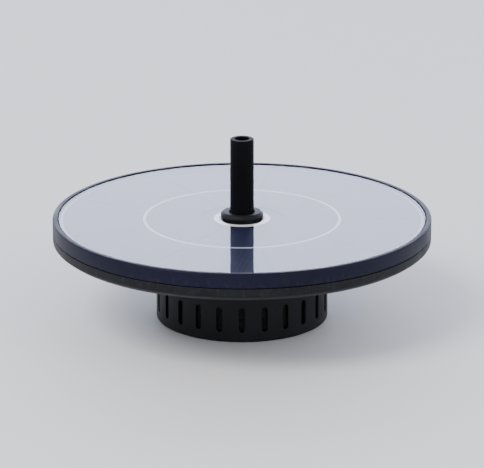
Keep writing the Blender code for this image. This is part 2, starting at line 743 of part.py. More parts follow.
BLACK_PLASTIC = material("black_plastic", (0.012, 0.012, 0.014), 0.5)
BLACK_GLOSS = material("black_tube", (0.008, 0.008, 0.009), 0.35)
GREY_PLASTIC = material("pump_plastic", (0.03, 0.03, 0.033), 0.5)
WHITE_PLASTIC = material("impeller_plastic", (0.75, 0.75, 0.72), 0.4)
BOARD = material("panel_board", (0.02, 0.025, 0.08), 0.5)
SILICON = material("silicon_cell", (0.02, 0.028, 0.1), 0.25, 0.3)
TINNED = material("pale_print", (0.8, 0.82, 0.88), 0.4)
GLAZING = material("clear_sheet", (0.9, 0.92, 1.0), 0.05, 0.0, 0.35)
RUBBER = material("rubber", (0.02, 0.02, 0.02), 0.85)
FOAM = material("closed_cell_foam", (0.75, 0.75, 0.75), 0.9)
SPONGE = material("filter_sponge", (0.05, 0.05, 0.055), 0.95)
STEEL = material("screw_steel", (0.6, 0.6, 0.6), 0.3, 1.0)
IRON = material("stator_iron", (0.3, 0.3, 0.31), 0.5, 0.9)
COPPER = material("coil_wire", (0.65, 0.28, 0.12), 0.35, 0.9)
CIRCUIT = material("circuit_board", (0.02, 0.16, 0.05), 0.5)
RESIN = material("chip_resin", (0.02, 0.02, 0.02), 0.4)
TANTALUM = material("capacitor_yellow", (0.7, 0.45, 0.08), 0.4)
MAGNET = material("magnet", (0.12, 0.12, 0.125), 0.6, 0.2)
CERAMIC = material("ceramic", (0.85, 0.85, 0.83), 0.3)
CABLE = material("lead_sheath", (0.02, 0.02, 0.02), 0.5)

ALONG_Y = (math.radians(-90), 0, 0)  # turns local z to the object's +Y
PUMP_AXIS = axis_empty("pump_axis", (PUMP_X, 0, PUMP_Z), ALONG_Y)
ROTOR_AXIS = axis_empty("rotor_axis", (PUMP_X, 0, PUMP_Z), ALONG_Y)
COVER_AXIS = axis_empty("cover_axis", (PUMP_X, 0, PUMP_Z), ALONG_Y)
STRAINER_AXIS = axis_empty("strainer_axis", (0, 0, 0))
NOZZLE_AXIS = axis_empty("nozzle_axis", (0, 0, 0))

make_float_shell()
make_top_tray()
make_float_seals()
make_foam_float()
make_screws()
make_panel()
make_terminals()
make_pump_body()
make_motor()
make_rotor()
make_shaft()
make_volute_cover()
make_strainer()
make_nozzle()
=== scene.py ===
"""The looks of a floating solar fountain pump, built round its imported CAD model.

Metres, in the model's own frame: the nozzle stands on the Z axis and the front is -Y."""

import json
import math

import bmesh
import bpy
from mathutils import Matrix, Vector, noise


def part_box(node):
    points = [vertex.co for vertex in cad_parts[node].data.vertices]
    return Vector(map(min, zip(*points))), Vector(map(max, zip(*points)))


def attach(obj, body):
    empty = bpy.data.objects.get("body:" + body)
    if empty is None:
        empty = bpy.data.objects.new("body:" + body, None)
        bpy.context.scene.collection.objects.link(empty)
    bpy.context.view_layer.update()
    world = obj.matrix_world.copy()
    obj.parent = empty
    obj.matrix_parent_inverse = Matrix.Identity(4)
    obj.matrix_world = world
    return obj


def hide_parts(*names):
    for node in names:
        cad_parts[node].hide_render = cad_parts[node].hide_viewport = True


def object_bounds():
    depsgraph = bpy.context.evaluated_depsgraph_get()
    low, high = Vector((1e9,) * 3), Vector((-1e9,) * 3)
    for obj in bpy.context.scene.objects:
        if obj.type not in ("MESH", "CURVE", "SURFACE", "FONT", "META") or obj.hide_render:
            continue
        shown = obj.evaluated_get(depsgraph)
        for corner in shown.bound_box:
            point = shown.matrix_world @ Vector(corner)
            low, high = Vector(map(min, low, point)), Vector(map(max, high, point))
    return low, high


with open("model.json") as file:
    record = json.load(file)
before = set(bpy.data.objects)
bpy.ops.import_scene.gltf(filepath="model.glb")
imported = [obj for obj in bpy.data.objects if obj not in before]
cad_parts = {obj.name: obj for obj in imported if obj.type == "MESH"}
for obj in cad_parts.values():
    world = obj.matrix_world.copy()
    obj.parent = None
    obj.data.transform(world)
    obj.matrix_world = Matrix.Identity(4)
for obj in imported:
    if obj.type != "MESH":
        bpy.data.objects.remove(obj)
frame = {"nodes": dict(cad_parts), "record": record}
CAD_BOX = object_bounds()

MM = 0.001
SHARP = math.radians(32)  # a bend above this stays a crisp edge

# ---- sides of a turned piece -------------------------------------------------------------------
ROUND = 160
BASKET_SIDES = 144
PUMP_SIDES = 112
TUBE_SIDES = 96
ROTOR_SIDES = 72
SPIGOT_SIDES = 64
BORE_SIDES = 48
HOLE_SIDES = 24

# ---- sizes, from the frame ---------------------------------------------------------------------
DISC_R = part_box("top_tray")[1].x
LIP_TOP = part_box("top_tray")[1].z
PANEL_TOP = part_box("panel_glazing")[1].z
PANEL_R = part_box("panel_glazing")[1].x
BOARD_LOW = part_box("panel_board")[0].z
CELL_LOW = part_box("outer_cell_1")[0].z
CELL_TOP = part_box("outer_cell_1")[1].z
NOZZLE_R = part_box("nozzle_tube")[1].x
NOZZLE_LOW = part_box("nozzle_tube")[0].z
NOZZLE_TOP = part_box("nozzle_tube")[1].z
COLLAR_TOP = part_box("hub_collar")[1].z
COLLAR_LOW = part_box("hub_collar")[0].z
COLLAR_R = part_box("hub_collar")[1].x
BASKET_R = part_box("strainer")[1].x
BASKET_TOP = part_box("strainer")[1].z
FLOOR_Z = CAD_BOX[0].z
SPONGE_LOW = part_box("filter_sponge")[0].z
SPONGE_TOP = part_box("filter_sponge")[1].z
SPONGE_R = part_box("filter_sponge")[1].x

# ---- sizes that the frame's boxes don't show, as in the CAD ------------------------------------
TRAY_FLOOR = BOARD_LOW - 0.3 * MM
TRAY_T = 1.4 * MM
SEAM_TOP = 38.2 * MM  # the tray's lower edge
SKIRT_T = 1.7 * MM
HOLE_R = 8.3 * MM  # through the panel and the tray
CEILING = 34.2 * MM  # underside of the pump's well
OUTER_CELLS = 9
INNER_CELLS = 3
CELL_GAP = 0.6 * MM
OUTER_BAND = (42.3 * MM, 75 * MM)  # inner and outer radius of the cells
INNER_BAND = (18 * MM, 40.2 * MM)
RING_INNER_R = {"panel_ring": 40.6 * MM, "panel_edge_ring": 75.5 * MM, "panel_centre_ring": 9.6 * MM}
FINGER_PITCH = 2 * MM  # silver lines on a cell

SCREW_COUNT = 6
FIRST_SCREW = 30  # degrees
BOSS_R = 3.8 * MM  # round a float screw
COUNTERBORE_R = 3.4 * MM
CLEAR_R = 1.9 * MM  # a float screw's clearance hole
FLOAT_PILOT_R = 1.6 * MM
PUMP_CLEAR_R = 1.6 * MM
PUMP_PILOT_R = 1.5 * MM
PUMP_MOUNTS = ((-26 * MM, 4 * MM), (12 * MM, 4 * MM))

PUMP_AT = Vector((-9.3 * MM, 0, 19 * MM))
ALONG_Y = Matrix.Rotation(-math.pi / 2, 4, "X")
HOOK_TURNS = (-160, 20)  # degrees about the pump's own axis
OUTLET_R = 2.9 * MM
OUTLET_PIPE_R = 4.1 * MM
LEAD_HOLE = (-9.3 * MM, 16.9 * MM)
LEAD_HOLE_R = 2.7 * MM
DIODE_AT = Vector((50.3 * MM, 0, 39.6 * MM))
BLADES = 6
BLADE_SWEEP = math.radians(45)
POLES = 4
LAMINATIONS = 10
COIL_TURNS = 6

STRAINER_LOCKS = 3
STRAINER_WINDOWS = 24
STRAINER_SLOTS = 12
SLOT_W = 2.6 * MM

# ---- meshes ------------------------------------------------------------------------------------


def new_object(name, shape):
    """An object from a bmesh, smooth where it curves and sharp at its edges."""
    mesh = bpy.data.meshes.new(name)
    bmesh.ops.recalc_face_normals(shape, faces=shape.faces)
    shape.to_mesh(mesh)
    shape.free()
    return shaded(bpy.data.objects.new(name, mesh))


def shaded(obj):
    """Links an object and shades it smooth below the sharp angle."""
    obj.data.polygons.foreach_set("use_smooth", [True] * len(obj.data.polygons))
    obj.data.set_sharp_from_angle(angle=SHARP)
    if obj.name not in bpy.context.scene.collection.objects:
        bpy.context.scene.collection.objects.link(obj)
    return obj


def fillet(corners, steps=4):
    """A closed outline with round corners. Each corner is (u, v, radius)."""
    outline = []
    count = len(corners)
    for i, (u, v, radius) in enumerate(corners):
        here = Vector((u, v))
        before = Vector(corners[i - 1][:2]) - here
        after = Vector(corners[(i + 1) % count][:2]) - here
        half = before.angle(after) / 2 if before.length and after.length else 0
        if radius <= 0 or half < 0.01 or abs(half - math.pi / 2) < 0.01:
            outline.append((u, v))
            continue
        back = min(radius / math.tan(half), before.length * 0.48, after.length * 0.48)
        start, end = here + before.normalized() * back, here + after.normalized() * back
        for step in range(steps + 1):
            t = step / steps
            point = start * (1 - t) ** 2 + here * 2 * t * (1 - t) + end * t**2
            outline.append((point.x, point.y))
    return outline


def lathe(name, corners, sides=ROUND, steps=4, at=(0, 0, 0), turn=None):
    """A solid of revolution about local Z, from a closed outline of (radius, height, fillet)."""
    shape = bmesh.new()
    outline = fillet(corners, steps)
    rings = []
    for i in range(sides):
        angle = math.tau * i / sides
        c, s = math.cos(angle), math.sin(angle)
        rings.append([shape.verts.new((r * c, r * s, z)) for r, z in outline])
    for a, b in zip(rings, rings[1:] + rings[:1]):
        for j in range(len(outline)):
            k = (j + 1) % len(outline)
            shape.faces.new((a[j], a[k], b[k], b[j]))
    bmesh.ops.remove_doubles(shape, verts=shape.verts, dist=1e-7)
    stray = [e for e in shape.edges if not e.link_faces]  # left along the axis
    bmesh.ops.delete(shape, geom=stray, context="EDGES")
    return put(new_object(name, shape), at, turn)


def put(obj, at=(0, 0, 0), turn=None):
    obj.matrix_world = Matrix.Translation(at) @ (turn or Matrix.Identity(4))
    return obj


def mm(*corners):
    """Outline corners given in millimetres."""
    return [(u * MM, v * MM, r * MM) for u, v, r in corners]


def prism(name, outline, low, high, turn=None, at=(0, 0, 0)):
    """An upright solid with the outline of (x, y) points."""
    shape = bmesh.new()
    bottom = [shape.verts.new((x, y, low)) for x, y in outline]
    top = [shape.verts.new((x, y, high)) for x, y in outline]
    shape.faces.new(bottom)
    shape.faces.new(top[::-1])
    for a, b, c, d in zip(bottom, bottom[1:] + bottom[:1], top[1:] + top[:1], top):
        shape.faces.new((a, b, c, d))
    return put(new_object(name, shape), at, turn)


def circle(radius, sides=32, x=0.0, y=0.0):
    angles = [math.tau * i / sides for i in range(sides)]
    return [(x + radius * math.cos(a), y + radius * math.sin(a)) for a in angles]


def stadium(length, width, sides=16):
    """A slot's outline: straight along X, with round ends."""
    r, reach = width / 2, (length - width) / 2
    outline = []
    for end in (1, -1):
        for i in range(sides // 2 + 1):
            angle = math.pi * (i / (sides // 2) - 0.5) + (0 if end > 0 else math.pi)
            outline.append((end * reach + r * math.cos(angle), r * math.sin(angle)))
    return outline


def combine(obj, tools, operation="DIFFERENCE"):
    """Cuts the tools from an object, or joins them to it, and removes them."""
    joined = bmesh.new()
    for tool in tools:
        part = tool.data.copy()
        part.transform(tool.matrix_world)
        joined.from_mesh(part)
        bpy.data.objects.remove(tool)
    mesh = bpy.data.meshes.new("tools")
    joined.to_mesh(mesh)
    joined.free()
    tool = bpy.data.objects.new("tools", mesh)
    bpy.context.scene.collection.objects.link(tool)
    modifier = obj.modifiers.new("Combine", "BOOLEAN")
    modifier.operation = operation
    modifier.object = tool
    modifier.solver = "EXACT"
    return settled(obj, tool)


def settled(obj, tool=None):
    """Applies an object's modifiers to its mesh."""
    bpy.context.view_layer.update()
    graph = bpy.context.evaluated_depsgraph_get()
    mesh = bpy.data.meshes.new_from_object(obj.evaluated_get(graph))
    obj.modifiers.clear()
    obj.data = mesh
    if tool:
        bpy.data.objects.remove(tool)
    return shaded(obj)


def soften(obj, width, segments=2, angle=40):
    """Rounds an object's sharp edges."""
    bevel = obj.modifiers.new("Soften", "BEVEL")
    bevel.width = width
    bevel.segments = segments
    bevel.limit_method = "ANGLE"
    bevel.angle_limit = math.radians(angle)
    bevel.harden_normals = False
    return settled(obj)


def spaced(count, first=0.0):
    return [math.radians(first + 360 * i / count) for i in range(count)]


def about_z(angle):
    return Matrix.Rotation(angle, 4, "Z")


# ---- materials ---------------------------------------------------------------------------------


class Finish:
    """A material with one Principled shader, and short ways to add textures to it."""

    def __init__(self, name, colour, roughness, **sockets):
        self.material = bpy.data.materials.new(name)
        self.material.use_nodes = True
        self.tree = self.material.node_tree
        self.shader = self.tree.nodes["Principled BSDF"]
        self.shader.inputs["Base Color"].default_value = (*colour, 1)
        self.shader.inputs["Roughness"].default_value = roughness
        for socket, value in sockets.items():
            self.shader.inputs[socket.replace("_", " ")].default_value = value
        self.place = self.add("ShaderNodeTexCoord").outputs["Object"]

    def add(self, kind, **values):
        node = self.tree.nodes.new(kind)
        for key, value in values.items():
            if hasattr(node, key):
                setattr(node, key, value)
            else:
                node.inputs[key.replace("_", " ")].default_value = value
        return node

    def link(self, a, b):
        self.tree.links.new(a, b)
        return b.node

    def noise(self, scale, detail=3.0, stretch=(1, 1, 1)):
        """A grey noise, 0 to 1. Scale is in features per metre."""
        mapping = self.add("ShaderNodeMapping")
        mapping.inputs["Scale"].default_value = stretch
        self.link(self.place, mapping.inputs["Vector"])
        texture = self.add("ShaderNodeTexNoise", Scale=scale, Detail=detail)
        self.link(mapping.outputs["Vector"], texture.inputs["Vector"])
        return texture.outputs["Fac"]

    def ramp(self, value, low, high, start=0.0, end=1.0):
        """Maps a value from low..high to start..end, and holds it there outside."""
        node = self.add("ShaderNodeMapRange", clamp=True)
        for socket, number in zip(("From Min", "From Max", "To Min", "To Max"), (low, high, start, end)):
            node.inputs[socket].default_value = number
        self.link(value, node.inputs["Value"])
        return node.outputs["Result"]

    def math(self, operation, a, b=None):
        node = self.add("ShaderNodeMath", operation=operation)
        for socket, value in zip(node.inputs, (a, b)):
            if isinstance(value, (int, float)):
                socket.default_value = value
            elif value is not None:
                self.link(value, socket)
        return node.outputs["Value"]

    def mix(self, factor, a, b):
        """A colour between a and b, each a colour or a link."""
        node = self.add("ShaderNodeMix", data_type="RGBA")
        self.link(factor, node.inputs["Factor"])
        for socket, value in (("A", a), ("B", b)):
            target = [i for i in node.inputs if i.name == socket and i.type == "RGBA"][0]
            if isinstance(value, tuple):
                target.default_value = (*value, 1)
            else:
                self.link(value, target)
        return [o for o in node.outputs if o.type == "RGBA"][0]

    def coordinate(self, axis):
        node = self.add("ShaderNodeSeparateXYZ")
        self.link(self.place, node.inputs["Vector"])
        return node.outputs[axis]

    def colour(self, value):
        self.link(value, self.shader.inputs["Base Color"])
        return self

    def roughness(self, value):
        self.link(value, self.shader.inputs["Roughness"])
        return self

    def bump(self, *heights):
        """Adds relief. Each height is (grey, depth in metres)."""
        normal = None
        for grey, depth in heights:
            node = self.add("ShaderNodeBump", Distance=depth)
            self.link(grey, node.inputs["Height"])
            if normal:
                self.link(normal, node.inputs["Normal"])
            normal = node.outputs["Normal"]
        self.link(normal, self.shader.inputs["Normal"])
        return self


def lighter(colour, by):
    return tuple(min(1.0, c * by) for c in colour)


def moulded(name, colour, roughness, gloss=0.25, grain=0.02, scale_marks=False):
    """Injection-moulded plastic: a fine eroded grain, patches handled smooth, faint scuffs, and on
    what floats a pale deposit along the waterline."""
    made = Finish(name, colour, roughness, Specular_IOR_Level=gloss)
    cloud = made.noise(45, 4)
    scuffs = made.noise(260, 5, (1, 0.12, 1))
    shade = made.mix(made.ramp(cloud, 0.35, 0.7), lighter(colour, 0.8), lighter(colour, 1.5))
    shade = made.mix(made.ramp(scuffs, 0.66, 0.8, 0, 0.3), shade, lighter(colour, 4))
    if scale_marks:
        height = made.coordinate("Z")
        rising = made.ramp(height, 30 * MM, 37.5 * MM)
        falling = made.ramp(height, 37.8 * MM, 42.5 * MM, 1, 0)
        band = made.math("MULTIPLY", rising, falling)
        streaks = made.noise(700, 7, (1, 1, 0.5))
        crust = made.math("MULTIPLY", band, made.ramp(streaks, 0.5, 0.8, 0, 0.04))
        shade = made.mix(crust, shade, (0.34, 0.34, 0.33))
    made.colour(shade)
    made.roughness(made.ramp(cloud, 0.3, 0.7, roughness - 0.07, roughness + 0.1))
    return made.bump((made.noise(3800, 2), grain * MM), (cloud, 0.06 * MM)).material


def silicon():
    """A dark blue cell: faint crystal patches and hair-thin silver fingers."""
    made = Finish("cell_silicon", (0.011, 0.013, 0.040), 0.4, Specular_IOR_Level=0.03)
    crystals = made.add("ShaderNodeTexVoronoi", Scale=300)
    made.link(made.place, crystals.inputs["Vector"])
    grey = made.add("ShaderNodeRGBToBW")
    made.link(crystals.outputs["Color"], grey.inputs["Color"])
    shade = made.mix(grey.outputs["Val"], (0.0100, 0.0118, 0.037), (0.0125, 0.0148, 0.045))
    across = made.math("FRACT", made.math("MULTIPLY", made.coordinate("Y"), 1 / FINGER_PITCH))
    finger = made.math("LESS_THAN", across, 0.12)
    made.colour(made.mix(made.math("MULTIPLY", finger, 0.14), shade, (0.10, 0.11, 0.2)))
    return made.roughness(made.ramp(grey.outputs["Val"], 0, 1, 0.36, 0.44)).material


def clear_sheet():
    """The clear cover: a thin sheet that mirrors more the flatter it is looked at. Its alpha is
    the share of light that it mirrors, so the cells below get the rest."""
    made = Finish("clear_sheet", (0.98, 0.985, 1.0), 0.02, Metallic=1.0)
    mirror = made.add("ShaderNodeFresnel", IOR=1.5)
    inside = made.add("ShaderNodeNewGeometry").outputs["Backfacing"]
    share = made.math("MULTIPLY", mirror.outputs["Fac"], made.math("SUBTRACT", 1.0, inside))
    made.link(share, made.shader.inputs["Alpha"])
    spots = made.noise(420, 2)
    made.roughness(made.ramp(spots, 0.7, 0.78, 0.012, 0.12))
    return made.bump((made.noise(26, 2), 0.01 * MM)).material


def printed(name, colour):
    made = Finish(name, colour, 0.45)
    made.colour(made.mix(made.noise(700, 3), lighter(colour, 0.9), lighter(colour, 1.06)))
    return made.bump((made.noise(2500, 2), 0.01 * MM)).material


def solder_mask(name, colour, gloss=0.4):
    """A circuit board's lacquer over its woven glass."""
    made = Finish(name, colour, 0.4, Specular_IOR_Level=gloss)
    threads = 5200  # radians per metre
    weave = made.math(
        "MULTIPLY",
        made.math("SINE", made.math("MULTIPLY", made.coordinate("X"), threads)),
        made.math("SINE", made.math("MULTIPLY", made.coordinate("Y"), threads)),
    )
    cloud = made.ramp(made.noise(150), 0.3, 0.7)
    made.colour(made.mix(cloud, lighter(colour, 0.85), lighter(colour, 1.2)))
    return made.bump((weave, 0.008 * MM)).material


def rubbery(name, colour):
    made = Finish(name, colour, 0.8, Specular_IOR_Level=0.3)
    bloom = made.ramp(made.noise(220, 5), 0.45, 0.75, 0, 0.5)
    made.colour(made.mix(bloom, colour, lighter(colour, 2.2)))
    return made.bump((made.noise(3000, 3), 0.02 * MM)).material


def foamy(name, colour, pore, depth, contrast=1.5):
    """Foam, with pores of the given size, and painted shade at the bottom of each pore."""
    made = Finish(name, colour, 0.95, Specular_IOR_Level=0.15)
    cells = made.add("ShaderNodeTexVoronoi", Scale=1 / pore, feature="F1")
    made.link(made.place, cells.inputs["Vector"])
    # painted shade: each pore is darker towards its middle, where its hollow is deepest
    pore_shade = made.ramp(cells.outputs["Distance"], 0.1, 0.6)
    made.colour(made.mix(pore_shade, lighter(colour, 0.5 / contrast), lighter(colour, contrast)))
    return made.bump((cells.outputs["Distance"], depth)).material


def metal(name, colour, roughness, along=(1, 1, 14)):
    """Bare metal, with fine lines from its making."""
    made = Finish(name, colour, roughness, Metallic=1.0)
    lines = made.noise(900, 4, along)
    made.colour(made.mix(made.ramp(lines, 0.3, 0.7), lighter(colour, 0.75), lighter(colour, 1.1)))
    made.roughness(made.ramp(lines, 0.3, 0.7, roughness - 0.08, roughness + 0.15))
    return made.bump((lines, 0.006 * MM)).material


def mineral(name, colour, roughness):
    """Ferrite or ceramic: a fine, even speckle."""
    made = Finish(name, colour, roughness)
    speckle = made.noise(2600, 5)
    made.colour(made.mix(made.ramp(speckle, 0.35, 0.65), lighter(colour, 0.8), lighter(colour, 1.15)))
    return made.bump((speckle, 0.01 * MM)).material


BLACK = (0.0055, 0.0056, 0.0075)
NAVY_BLACK = (0.0045, 0.005, 0.017)
LOOKS = {
    "black_plastic": moulded("black_plastic", BLACK, 0.5, 0.16),
    "black_tube": moulded("black_tube", (0.002, 0.002, 0.003), 0.5, 0.07, 0.008),
    "pump_plastic": moulded("pump_plastic", (0.03, 0.031, 0.034), 0.5),
    "impeller_plastic": moulded("impeller_plastic", (0.6, 0.6, 0.57), 0.4, 0.5, 0.01),
    "panel_board": solder_mask("panel_board", (0.0095, 0.0112, 0.036), 0.03),
    "silicon_cell": silicon(),
    "pale_print": printed("pale_print", (0.8, 0.81, 0.85)),
    "clear_sheet": clear_sheet(),
    "rubber": rubbery("rubber", (0.018, 0.018, 0.019)),
    "closed_cell_foam": foamy("closed_cell_foam", (0.6, 0.6, 0.6), 0.7 * MM, 0.1 * MM),
    "filter_sponge": foamy("filter_sponge", (0.012, 0.012, 0.014), 1.3 * MM, 0.3 * MM, 1.3),
    "screw_steel": metal("screw_steel", (0.55, 0.55, 0.56), 0.28),
    "stator_iron": metal("stator_iron", (0.22, 0.22, 0.23), 0.45, (1, 14, 1)),
    "coil_wire": metal("coil_wire", (0.6, 0.23, 0.09), 0.32, (1, 8, 1)),
    "circuit_board": solder_mask("circuit_board", (0.015, 0.12, 0.04)),
    "chip_resin": moulded("chip_resin", (0.015, 0.015, 0.015), 0.45, 0.4),
    "capacitor_yellow": moulded("capacitor_yellow", (0.62, 0.36, 0.05), 0.4, 0.4),
    "magnet": mineral("magnet", (0.09, 0.09, 0.095), 0.6),
    "ceramic": mineral("ceramic", (0.78, 0.78, 0.75), 0.3),
    "lead_sheath": rubbery("lead_sheath", (0.016, 0.016, 0.017)),
}
FLOAT_PLASTIC = moulded("float_plastic", BLACK, 0.48, 0.16, 0.02, scale_marks=True)
FRAME_PLASTIC = moulded("frame_plastic", NAVY_BLACK, 0.42, 0.13, 0.015, scale_marks=True)
SILVER_PRINT = printed("silver_print", (0.42, 0.44, 0.56))
EDGE_PRINT = printed("edge_print", (0.13, 0.14, 0.23))


def finish_piece(obj, body, slot, nodes, look=None):
    """Gives a piece its material and says what it rides on and stands for. Weighted normals keep
    its flat faces flat where they meet round edges."""
    flats = obj.modifiers.new("Flats", "WEIGHTED_NORMAL")
    flats.weight = 60
    flats.keep_sharp = True
    obj.data.materials.clear()
    obj.data.materials.append(look or LOOKS[slot])
    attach(obj, body)
    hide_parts(*nodes)
    return obj


def dress_cad_nodes():
    """The nodes that keep their CAD shape get their slot's material and smooth curves."""
    for entry in frame["record"]["subparts"]:
        node = frame["nodes"][entry["node"]]
        node.data.materials.clear()
        node.data.materials.append(LOOKS[entry["material_slot"]])
        node.data.polygons.foreach_set("use_smooth", [True] * len(node.data.polygons))
        node.data.set_sharp_from_angle(angle=SHARP)


# ---- the panel ---------------------------------------------------------------------------------


def sector(inner, outer, width, steps):
    """One cell's outline, centred on +X. Its width is in radians."""
    corners = []
    for radius, sign in ((inner, -1), (outer, 1)):
        reach = width / 2 - math.asin(CELL_GAP / 2 / radius)
        for i in range(steps + 1):
            angle = sign * (2 * i / steps - 1) * reach
            corners.append((radius * math.cos(angle), radius * math.sin(angle)))
    return corners[::-1]


def make_cells():
    """Two bands of cells, each a piece of a ring with a gap to its neighbours."""
    bands = (
        ("outer_cell", OUTER_CELLS, *OUTER_BAND),
        ("inner_cell", INNER_CELLS, *INNER_BAND),
    )
    for band, count, inner, outer in bands:
        width = math.tau / count
        outline = sector(inner, outer, width, 144 // count)
        for i in range(count):
            node, turn = f"{band}_{i + 1}", about_z((i + 0.5) * width)
            cell = prism(f"{node}_face", outline, CELL_LOW, CELL_TOP, turn)
            finish_piece(cell, "float", "silicon_cell", [node])


def flat_ring(name, node, slot, look=None):
    """A thin printed or laminated ring of the CAD node's size, with eased edges."""
    low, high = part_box(node)
    inner = RING_INNER_R.get(node, HOLE_R)
    ease = min(0.1 * MM, (high.z - low.z) / 3)
    section = ((high.x, high.z), (high.x, low.z), (inner, low.z), (inner, high.z))
    ring = lathe(name, [(r, z, ease) for r, z in section], steps=2)
    return finish_piece(ring, "float", slot, [node], look)


def make_panel():
    make_cells()
    flat_ring("board_laminate", "panel_board", "panel_board")
    flat_ring("pale_ring_middle", "panel_ring", "pale_print", SILVER_PRINT)
    flat_ring("pale_ring_edge", "panel_edge_ring", "pale_print", EDGE_PRINT)
    flat_ring("pale_ring_centre", "panel_centre_ring", "pale_print")
    flat_ring("clear_cover", "panel_glazing", "clear_sheet")


# ---- the float ---------------------------------------------------------------------------------


def float_screw_places():
    low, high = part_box("float_screw_1")
    radius = ((low.xy + high.xy) / 2).length
    return [(radius * math.cos(a), radius * math.sin(a)) for a in spaced(SCREW_COUNT, FIRST_SCREW)]


def upright(x, y, radius, low, high, sides=32):
    return prism("tool", circle(radius, sides, x, y), low, high)


def make_frame():
    """The tray whose lip is the dark edge round the panel."""
    recess = PANEL_R + 0.4 * MM
    floor = TRAY_FLOOR - TRAY_T
    corners = [
        (DISC_R, LIP_TOP, 0.9 * MM),
        (DISC_R, SEAM_TOP, 0.3 * MM),
        (DISC_R - SKIRT_T, SEAM_TOP, 0.2 * MM),
        (DISC_R - SKIRT_T, floor, 0.5 * MM),
        (HOLE_R, floor, 0.2 * MM),
        (HOLE_R, TRAY_FLOOR, 0.2 * MM),
        (recess, TRAY_FLOOR, 0.3 * MM),
        (recess, LIP_TOP, 0.4 * MM),
    ]
    tray = lathe("panel_frame", corners)
    places = float_screw_places()
    boss_low, boss_top = 36.5 * MM, floor + 0.4 * MM
    combine(tray, [upright(x, y, BOSS_R, boss_low, boss_top) for x, y in places], "UNION")
    holes = [upright(x, y, FLOAT_PILOT_R, 36 * MM, 40.2 * MM, HOLE_SIDES) for x, y in places]
    combine(tray, holes)
    window = prism("tool", stadium(17 * MM, 10 * MM), 37 * MM, 43 * MM, at=(45 * MM, 0, 0))
    combine(tray, [window])
    finish_piece(tray, "float", "black_plastic", ["top_tray"], FRAME_PLASTIC)


def make_hull():
    """The float's lower shell, with the neck that the strainer locks on."""
    corners = mm(
        (80, 37.9, 0.3),
        (80, 34.4, 1.6),
        (77.6, 32.6, 2.2),
        (40.4, 22.2, 0.9),
        (39, 21.9, 0.6),
        (33, 21.9, 0.5),
        (33, 17, 0.4),
        (31.4, 17, 0.4),
        (31.4, 34.2, 0.8),
        (4.3, 34.2, 0.3),
        (4.3, 35.8, 0.3),
        (33.2, 35.8, 0.8),
        (33.2, 23.9, 0.6),
        (39.2, 23.9, 0.4),
        (75.4, 34.1, 0.8),
        (75.4, 37.9, 0.3),
    )
    hull = lathe("float_hull", corners)
    places = float_screw_places()
    bosses = [upright(x, y, BOSS_R, 27.6 * MM, 36.2 * MM) for x, y in places]
    for x, y in PUMP_MOUNTS:
        bosses.append(upright(x, y, 3 * MM, CEILING + 0.4 * MM, 38.8 * MM, HOLE_SIDES))
    combine(hull, bosses, "UNION")
    combine(hull, [upright(x, y, COUNTERBORE_R, 20 * MM, 30.5 * MM) for x, y in places])
    holes = [upright(x, y, CLEAR_R, 29 * MM, 38 * MM, HOLE_SIDES) for x, y in places]
    holes += [upright(x, y, PUMP_CLEAR_R, 30 * MM, 38 * MM, HOLE_SIDES) for x, y in PUMP_MOUNTS]
    holes.append(upright(*LEAD_HOLE, LEAD_HOLE_R, 30 * MM, 40 * MM))
    combine(hull, holes)
    lug = fillet(mm((1.0, 3.2, 0.5), (1.0, -3.2, 0.5), (-1.0, -3.2, 0), (-1.0, 3.2, 0)))
    stop = fillet(mm((1.0, 0.7, 0.3), (1.0, -0.7, 0.3), (-1.0, -0.7, 0), (-1.0, 0.7, 0)))
    lug_at, stop_at = Vector((33.4 * MM, 0, 0)), Vector((33 * MM, -5.4 * MM, 0))
    locks = []
    for turn in (about_z(angle) for angle in spaced(STRAINER_LOCKS)):
        locks.append(prism("tool", lug, 17 * MM, 18.2 * MM, turn, turn @ lug_at))
        locks.append(prism("tool", stop, 17.05 * MM, 21 * MM, turn, turn @ stop_at))
    combine(hull, locks, "UNION")
    finish_piece(hull, "float", "black_plastic", ["float_shell"], FLOAT_PLASTIC)


def make_seal():
    """The round ring between the two halves of the float."""
    low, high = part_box("rim_gasket")
    middle, minor = (low.z + high.z) / 2, (high.z - low.z) / 2
    major = high.x - minor - 0.05 * MM
    section = [(major + minor * math.cos(a), middle + minor * math.sin(a), 0) for a in spaced(16)]
    finish_piece(lathe("rim_seal", section), "float", "rubber", ["rim_gasket"])


def make_screw(node, turn):
    """A pan-head screw with a cross recess and a cut thread."""
    low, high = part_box(node)
    x, y = (low.x + high.x) / 2, (low.y + high.y) / 2
    head = (high.x - low.x) / 2
    head_h = head * 0.66
    shank = head * 0.43
    corners = [
        (0, low.z, 0),
        (head * 0.55, low.z, head * 0.3),
        (head, low.z + head_h * 0.45, head * 0.3),
        (head, low.z + head_h, 0.05 * MM),
        (shank, low.z + head_h, 0.1 * MM),
    ]
    root = shank * 0.82
    pitch, top = 0.8 * MM, high.z - 1.4 * MM
    z = low.z + head_h + pitch
    while z < top:
        corners += [(root, z, 0), (shank, z + pitch * 0.35, 0), (root, z + pitch * 0.7, 0)]
        z += pitch
    corners += [(shank * 0.8, top, 0), (shank * 0.25, high.z, 0), (0, high.z, 0)]
    screw = lathe(node + "_fine", corners, 32, 3, (x, y, 0))
    outline = stadium(head * 1.15, head * 0.26, 8)
    for quarter in (0, math.pi / 2):
        slot_turn = about_z(turn + quarter)
        slot = prism("tool", outline, low.z - MM, low.z + head_h * 0.6, slot_turn, (x, y, 0))
        combine(screw, [slot])
    finish_piece(screw, "float", "screw_steel", [node])


def make_screws():
    """Each screw's cross recess has come to rest at another angle, in radians."""
    for i in range(SCREW_COUNT):
        make_screw(f"float_screw_{i + 1}", 0.7 * i)
    for i in range(len(PUMP_MOUNTS)):
        make_screw(f"pump_screw_{i + 1}", 0.4 + i)


# ---- nozzle and strainer -----------------------------------------------------------------------


